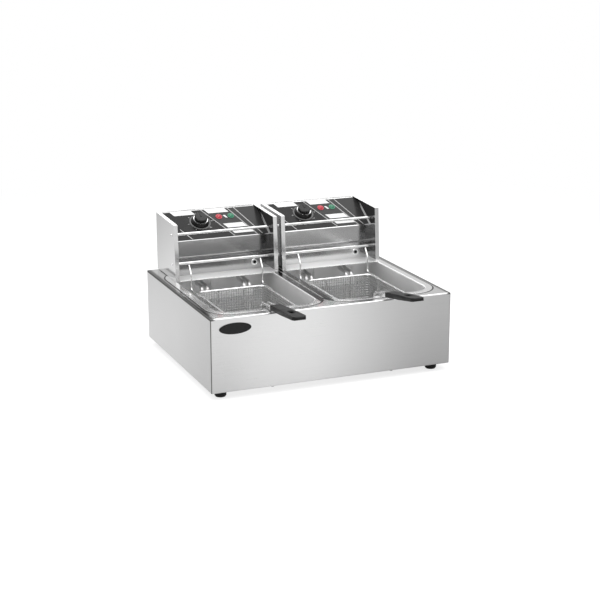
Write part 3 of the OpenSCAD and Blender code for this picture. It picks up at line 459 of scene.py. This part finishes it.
# finishes of the CAD nodes
nodeFinish = {
    "outer_casing": "deckSteelPaintedShade", "base_plate": "zincSteel", "centre_support": "zincSteel",
    "rubber_feet": "footRubber", "base_screws": "zincSteel", "badge_plate": "badgeEnamel",
    "tank": "rimmedTankPaintedShade", "head_shell": "paintedCheekShadeSteel", "head_back": "headSteel",
    "back_screws": "zincSteel", "hanging_rods": "chromeTrim", "rod_screws": "zincSteel",
    "dial_ring": "dialPrint", "knob": "knobPlastic", "knob_ring": "chromeTrim", "spindle": "zincSteel",
    "thermostat": "zincSteel", "thermostat_bulb": "elementSteel", "limiter": "zincSteel",
    "reset_bezel": "chromeTrim", "reset_button": "knobPlastic",
    "red_lamp": "redLens", "green_lamp": "greenLens",
    "terminal_block": "ceramicBlock", "cable_gland": "blackPlastic", "element": "elementSteel",
    "element_straps": "tankSteel", "basket_frame": "wireSteel", "basket_mesh": "wireSteel",
    "handle_wire": "wireSteel", "grip": "blackPlastic",
}


def dress(thing, material):
    thing.data.materials.clear()
    thing.data.materials.append(material)


for name, thing in nodes.items():
    side, _, kind = name.partition("_")
    if side not in sides:
        kind = name
    if kind == "control_film":
        dress(thing, makeFilm(side))
    # each head's front takes its own copy of the mirror steel, with painted shade
    elif kind == "head_front":
        dress(thing, finish[side + "Mirror"])
    else:
        dress(thing, finish[nodeFinish[kind]])

print("nodes dressed")

# making of new pieces


def newPiece(name, bm, body, material, smooth=40):
    mesh = bpy.data.meshes.new(name)
    bmesh.ops.recalc_face_normals(bm, faces=bm.faces)
    bm.to_mesh(mesh)
    bm.free()
    thing = bpy.data.objects.new(name, mesh)
    bpy.context.scene.collection.objects.link(thing)
    mesh.polygons.foreach_set("use_smooth", [True] * len(mesh.polygons))
    mesh.set_sharp_from_angle(angle=math.radians(smooth))
    dress(thing, material)
    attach(thing, body)
    return thing


def meshOf(name, data):
    # the mesh that a curve or a text comes to
    holder = bpy.data.objects.new(name, data)
    bpy.context.scene.collection.objects.link(holder)
    graph = bpy.context.evaluated_depsgraph_get()
    mesh = bpy.data.meshes.new_from_object(holder.evaluated_get(graph))
    bpy.data.objects.remove(holder)
    return mesh


# rounding of the grips' and knobs' edges
softening = dict(merge=2e-6, flat=0.6, smooth=30, sharp=35,
                 grip=0.0011, gripSteps=3, knob=0.0004, knobSteps=2)


def softened(node, name, body, material, width, segments):
    # a copy of a CAD node with its sharp edges rounded
    bm = bmesh.new()
    bm.from_mesh(nodes[node].data)
    bmesh.ops.remove_doubles(bm, verts=bm.verts, dist=softening["merge"])
    flat = math.radians(softening["flat"])
    bmesh.ops.dissolve_limit(bm, angle_limit=flat, verts=bm.verts, edges=bm.edges)
    thing = newPiece(name, bm, body, material, smooth=softening["smooth"])
    bevel = thing.modifiers.new("bevel", "BEVEL")
    bevel.width, bevel.segments = width, segments
    bevel.limit_method, bevel.angle_limit = "ANGLE", math.radians(softening["sharp"])
    bevel.harden_normals = True
    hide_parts(node)


# wire cloth of the baskets
cloth = dict(middle=0.131, y=0.013, width=0.1558, length=0.1958, low=0.0682, high=0.1556, corner=0.0118,
             pitch=0.0058, wire=0.00052, bend=0.006, bendSteps=4, cornerSteps=5, cornerWires=3,
             firstRing=0.004, smooth=80)
clothStep = 2 * cloth["wire"]
clothInside = (cloth["width"] / 2 - 1.5 * clothStep, cloth["length"] / 2 - 1.5 * clothStep)
clothOutside = (cloth["width"] / 2 - clothStep / 2, cloth["length"] / 2 - clothStep / 2)


def arcPoints(centre, radius, start, end, count):
    turns = [start + (end - start) * i / count for i in range(count + 1)]
    return [(centre[0] + radius * math.cos(turn), centre[1] + radius * math.sin(turn)) for turn in turns]


def addSpline(curve, points, closed=False):
    spline = curve.splines.new("POLY")
    spline.points.add(len(points) - 1)
    for point, place in zip(spline.points, points):
        point.co = (*place, 1.0)
    spline.use_cyclic_u = closed


def addSpans(curve, middleX, along):
    # wires down one wall, across the floor and up the other; along says that they run left to right
    across, reach = (clothInside[1], clothInside[0]) if along else clothInside
    bend, steps = cloth["bend"], cloth["bendSteps"]
    floor = cloth["low"] + (0.5 + along) * clothStep
    count = int((across - cloth["corner"]) / cloth["pitch"])
    for i in range(-count, count + 1):
        at = i * cloth["pitch"]
        profile = [(-reach, cloth["high"])]
        profile += arcPoints((-reach + bend, floor + bend), bend, math.pi, 1.5 * math.pi, steps)
        profile += arcPoints((reach - bend, floor + bend), bend, 1.5 * math.pi, 2 * math.pi, steps)
        profile.append((reach, cloth["high"]))
        if along:
            addSpline(curve, [(middleX + a, cloth["y"] + at, z) for a, z in profile])
        else:
            addSpline(curve, [(middleX + at, cloth["y"] + a, z) for a, z in profile])


def cornerMiddle(middleX, signX, signY):
    return (middleX + signX * (clothOutside[0] - cloth["corner"]),
            cloth["y"] + signY * (clothOutside[1] - cloth["corner"]))


def addRings(curve, middleX):
    levels = int((cloth["high"] - cloth["low"] - cloth["bend"]) / cloth["pitch"])
    for k in range(levels):
        z = cloth["high"] - cloth["firstRing"] - k * cloth["pitch"]
        ring = []
        for turn, signs in enumerate(((1, 1), (-1, 1), (-1, -1), (1, -1))):
            start = turn * math.pi / 2
            ring += arcPoints(cornerMiddle(middleX, *signs), cloth["corner"], start, start + math.pi / 2,
                              cloth["cornerSteps"])
        addSpline(curve, [(a, b, z) for a, b in ring], closed=True)


def addCornerWires(curve, middleX, signX, signY):
    # wires that run down a corner and in under the floor
    bend, start = cloth["bend"], cloth["corner"] - clothStep
    floor = cloth["low"] + 0.5 * clothStep
    middle = Vector((*cornerMiddle(middleX, signX, signY), 0))
    for k in range(cloth["cornerWires"]):
        turn = math.pi / 2 * (k + 0.5) / cloth["cornerWires"]
        out = Vector((signX * math.cos(turn), signY * math.sin(turn), 0))
        profile = [(start, cloth["high"])]
        profile += arcPoints((start - bend, floor + bend), bend, 0, -math.pi / 2, cloth["bendSteps"])
        profile.append((0.0, floor))
        addSpline(curve, [tuple(middle + out * r + Vector((0, 0, z))) for r, z in profile])


def makeCloth(side):
    curve = bpy.data.curves.new(side + "Cloth", "CURVE")
    curve.dimensions = "3D"
    curve.bevel_depth = cloth["wire"]
    curve.bevel_resolution = 1
    middleX = sides[side] * cloth["middle"]
    addSpans(curve, middleX, False)
    addSpans(curve, middleX, True)
    addRings(curve, middleX)
    for signX in (-1, 1):
        for signY in (-1, 1):
            addCornerWires(curve, middleX, signX, signY)
    bm = bmesh.new()
    bm.from_mesh(meshOf(side + "ClothCurve", curve))
    thing = newPiece(side + "_wire_cloth", bm, side + "_basket", finish["clothSteelPaintedShade"],
                     cloth["smooth"])
    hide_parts(side + "_basket_mesh")


# printed marks on the film in millimetres, across the panel and up its slope:
# labels as left edge, top edge, width and height, and slanted lines from point to point
marks = dict(
    labels=[(-93.0, 96.0, 50.0, 14.0), (-11.0, 96.0, 49.0, 14.0), (21.0, 44.5, 47.0, 14.0),
            (32.5, 22.8, 47.0, 11.5), (28.5, 72.5, 5.0, 9.0)],
    lines=[((-84, 38), (-64, 3)), ((-19, 96.5), (37, 3)), ((45, 96.5), (91, 3)), ((61, 96.5), (104, 3))],
    lineWidth=2.0, rise=0.00008,
    numbers=["0", "60", "90", "120", "150", "180", "200"], numberRadius=28.0, numberSize=4.2,
    knob=(-31.0, 56.0), sweep=(235, -45), merge=1e-7,
)


def flatShape(bm, corners, matrix):
    face = bm.faces.new([bm.verts.new(matrix @ Vector((x * mm, s * mm, 0))) for x, s in corners])
    raised = bmesh.ops.extrude_face_region(bm, geom=[face])
    moved = [v for v in raised["geom"] if isinstance(v, bmesh.types.BMVert)]
    out = (matrix.to_3x3() @ Vector((0, 0, 1))) * marks["rise"]
    bmesh.ops.translate(bm, verts=moved, vec=out)


def makeMarks(side):
    matrix = panelMatrix(side)
    bm = bmesh.new()
    for x, s, width, height in marks["labels"]:
        low = x + height * film["slant"]
        flatShape(bm, [(x, s), (low, s - height), (low + width, s - height), (x + width, s)], matrix)
    newPiece(side + "_labels", bm, side + "_head", finish["labelPrint"])
    bm = bmesh.new()
    half = marks["lineWidth"] / 2
    for (x1, s1), (x2, s2) in marks["lines"]:
        flatShape(bm, [(x1 - half, s1), (x2 - half, s2), (x2 + half, s2), (x1 + half, s1)], matrix)
    newPiece(side + "_print_lines", bm, side + "_head", finish["linePrint"])


def makeNumbers(side):
    # numbers round the dial, as flat printed text made a mesh
    bm = bmesh.new()
    start, end = marks["sweep"]
    for i, word in enumerate(marks["numbers"]):
        turn = math.radians(start + (end - start) * i / (len(marks["numbers"]) - 1))
        text = bpy.data.curves.new("dialWord", "FONT")
        text.body, text.size = word, marks["numberSize"] * mm
        text.align_x, text.align_y = "CENTER", "CENTER"
        text.extrude = marks["rise"] / 2
        mesh = meshOf("dialWord", text)
        x = marks["knob"][0] + marks["numberRadius"] * math.cos(turn)
        s = marks["knob"][1] + marks["numberRadius"] * math.sin(turn)
        mesh.transform(panelMatrix(side) @ Matrix.Translation((x * mm, s * mm, marks["rise"] / 2)))
        bm.from_mesh(mesh)
        bpy.data.meshes.remove(mesh)
    bmesh.ops.remove_doubles(bm, verts=bm.verts, dist=marks["merge"])
    newPiece(side + "_dial_numbers", bm, side + "_head", finish["linePrint"])


# bare oval plate on the front, with a raised bright border
badge = dict(x=-0.2215, z=0.152, wide=0.035, tall=0.012, front=-0.162, steps=96,
             side=0.00096, bevel=0.0012, bevelRise=0.00024, border=0.0022, sunk=0.0002)


def makeBadge():
    place = Matrix.Translation((badge["x"], badge["front"], badge["z"]))
    place = place @ Matrix.Rotation(math.pi / 2, 4, "X")
    bm = bmesh.new()
    disc = bmesh.ops.create_circle(bm, cap_ends=True, segments=badge["steps"], radius=1.0)
    bmesh.ops.scale(bm, verts=disc["verts"], vec=(badge["wide"], badge["tall"], 1))
    raised = bmesh.ops.extrude_face_region(bm, geom=list(bm.faces))
    top = [v for v in raised["geom"] if isinstance(v, bmesh.types.BMVert)]
    bmesh.ops.translate(bm, verts=top, vec=(0, 0, badge["side"]))
    cap = [f for f in raised["geom"] if isinstance(f, bmesh.types.BMFace)]
    bmesh.ops.inset_region(bm, faces=cap, thickness=badge["bevel"], depth=badge["bevelRise"])
    ring = bmesh.ops.inset_region(bm, faces=cap, thickness=badge["border"], depth=-badge["sunk"])
    for face in ring["faces"]:
        face.material_index = 1
    bmesh.ops.transform(bm, matrix=place, verts=bm.verts)
    thing = newPiece("badge", bm, "casing", finish["badgeEnamel"])
    thing.data.materials.append(finish["badgeBorder"])
    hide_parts("badge_plate")


for side in sides:
    makeCloth(side)
    makeMarks(side)
    makeNumbers(side)
    softened(side + "_grip", side + "_soft_grip", side + "_basket", finish["blackPlastic"],
             softening["grip"], softening["gripSteps"])
    softened(side + "_knob", side + "_soft_knob", side + "_knob", finish["knobPlastic"],
             softening["knob"], softening["knobSteps"])
makeBadge()

print("pieces made")

# soft studio: pale floor, white world, three area lamps
studio = dict(floorShade=0.86, floorGlow=0.74, floorSeen=0.34, floorSize=60.0, fade=(0.7, 2.2),
              worldDiffuse=0.55)

# what polished sheets mirror: a floor that darkens to the sides and towards the fryer, a wall behind
mirrored = dict(peak=0.95, left=0.73, right=0.48, near=0.76, lean=0.416,
                leftEdge=(-0.35, -0.20), rightEdge=(-0.15, 0.20), nearEdge=(-0.70, -0.20),
                wall=0.45, wallEdge=(0.1, 0.6), wallTop=(0.15, 0.50))


def seenRays(tree):
    # the rays that show a surface, and not only its light
    ray = addNode(tree, "ShaderNodeLightPath").outputs
    seen = mathNode(tree, "MAXIMUM", ray["Is Camera Ray"], ray["Is Glossy Ray"])
    return mathNode(tree, "MAXIMUM", seen, ray["Is Transmission Ray"]), ray["Is Glossy Ray"]


def floorTint(tree, place, mirror):
    axes = splitVector(tree, place)
    across = mathNode(tree, "ADD", axes["X"], mathNode(tree, "MULTIPLY", axes["Y"], mirrored["lean"]))
    rise = mapRange(tree, across, *mirrored["leftEdge"], mirrored["left"], mirrored["peak"], smooth=True)
    fall = mapRange(tree, across, *mirrored["rightEdge"], 1.0, mirrored["right"], smooth=True)
    near = mapRange(tree, axes["Y"], *mirrored["nearEdge"], 1.0, mirrored["near"])
    glossy = mathNode(tree, "MULTIPLY", mathNode(tree, "MULTIPLY", rise, fall), near)
    change = mathNode(tree, "MULTIPLY", mirror, mathNode(tree, "SUBTRACT", glossy, 1.0))
    return mathNode(tree, "ADD", change, 1.0)


def makeFloorMaterial():
    # away from the fryer the floor fades to plain white, and it keeps the shadow
    material = bpy.data.materials.new("paleFloor")
    material.use_nodes = True
    tree = material.node_tree
    tree.nodes.clear()
    leave = addNode(tree, "ShaderNodeOutputMaterial")
    seen, mirror = seenRays(tree)
    place = addNode(tree, "ShaderNodeNewGeometry").outputs["Position"]
    far = mapRange(tree, vectorNode(tree, "LENGTH", place), *studio["fade"], 0, 1, smooth=True)
    tint = floorTint(tree, place, mirror)
    plain = setInputs(addNode(tree, "ShaderNodeBsdfDiffuse"), Color=rgba(studio["floorShade"]))
    soft = addNode(tree, "ShaderNodeBsdfDiffuse")
    softShade = mathNode(tree, "MULTIPLY", mapRange(tree, far, 0, 1, studio["floorSeen"], 0.0), tint)
    tree.links.new(softShade, soft.inputs["Color"])
    glow = setInputs(addNode(tree, "ShaderNodeEmission"), Color=rgba(1.0))
    strength = mathNode(tree, "MULTIPLY", seen, mapRange(tree, far, 0, 1, studio["floorGlow"], 1.0))
    tree.links.new(mathNode(tree, "MULTIPLY", strength, tint), glow.inputs["Strength"])
    both = addNode(tree, "ShaderNodeAddShader")
    tree.links.new(soft.outputs[0], both.inputs[0])
    tree.links.new(glow.outputs[0], both.inputs[1])
    mix = addNode(tree, "ShaderNodeMixShader")
    tree.links.new(seen, mix.inputs["Fac"])
    tree.links.new(plain.outputs[0], mix.inputs[1])
    tree.links.new(both.outputs[0], mix.inputs[2])
    tree.links.new(mix.outputs[0], leave.inputs["Surface"])
    return material


def makeFloor():
    bm = bmesh.new()
    bmesh.ops.create_grid(bm, x_segments=1, y_segments=1, size=studio["floorSize"] / 2)
    mesh = bpy.data.meshes.new("floor")
    bm.to_mesh(mesh)
    bm.free()
    thing = bpy.data.objects.new("floor", mesh)
    bpy.context.scene.collection.objects.link(thing)
    mesh.materials.append(makeFloorMaterial())


def makeWorld():
    world = bpy.data.worlds.new("studio")
    bpy.context.scene.world = world
    world.use_nodes = True
    tree = world.node_tree
    background = tree.nodes["Background"]
    background.inputs["Color"].default_value = rgba(1.0)
    seen, mirror = seenRays(tree)
    axes = splitVector(tree, addNode(tree, "ShaderNodeTexCoord").outputs["Generated"])
    behind = mapRange(tree, axes["Y"], *mirrored["wallEdge"], 0, 1, smooth=True)
    low = mapRange(tree, axes["Z"], *mirrored["wallTop"], 1, 0, smooth=True)
    wall = mathNode(tree, "MULTIPLY", mathNode(tree, "MULTIPLY", behind, low), mirror)
    strength = mathNode(tree, "SUBTRACT", mapRange(tree, seen, 0, 1, studio["worldDiffuse"], 1.0),
                        mathNode(tree, "MULTIPLY", wall, mirrored["wall"]))
    tree.links.new(strength, background.inputs["Strength"])


lamps = {
    "key": dict(place=(-1.6, -1.7, 2.4), watts=38.0, size=2.0),
    "fill": dict(place=(1.9, -1.2, 1.6), watts=8.0, size=1.4),
    "top": dict(place=(0.1, 0.1, 2.4), watts=54.0, size=2.8),
}
lampAim = Vector((0, 0, 0.15))


def addLamp(name, lamp):
    data = bpy.data.lights.new(name, "AREA")
    data.energy, data.size = lamp["watts"], lamp["size"]
    thing = bpy.data.objects.new(name, data)
    bpy.context.scene.collection.objects.link(thing)
    thing.location = lamp["place"]
    thing.rotation_euler = (lampAim - Vector(lamp["place"])).to_track_quat("-Z", "Y").to_euler()


cameraView = dict(place=(-1.194815, -2.845658, 1.004493), down=15.532831, turn=-22.587754,
                  lens=87.566, sensor=36.0, near=0.05, far=100.0)


def addCamera():
    data = bpy.data.cameras.new("camera")
    data.lens, data.sensor_width = cameraView["lens"], cameraView["sensor"]
    data.clip_start, data.clip_end = cameraView["near"], cameraView["far"]
    camera = bpy.data.objects.new("camera", data)
    bpy.context.scene.collection.objects.link(camera)
    camera.location = cameraView["place"]
    camera.rotation_euler = (math.radians(90 - cameraView["down"]), 0, math.radians(cameraView["turn"]))
    bpy.context.scene.camera = camera


makeFloor()
makeWorld()
for name, lamp in lamps.items():
    addLamp(name, lamp)
addCamera()
bpy.context.scene.view_settings.view_transform = "Standard"

print("studio ready")
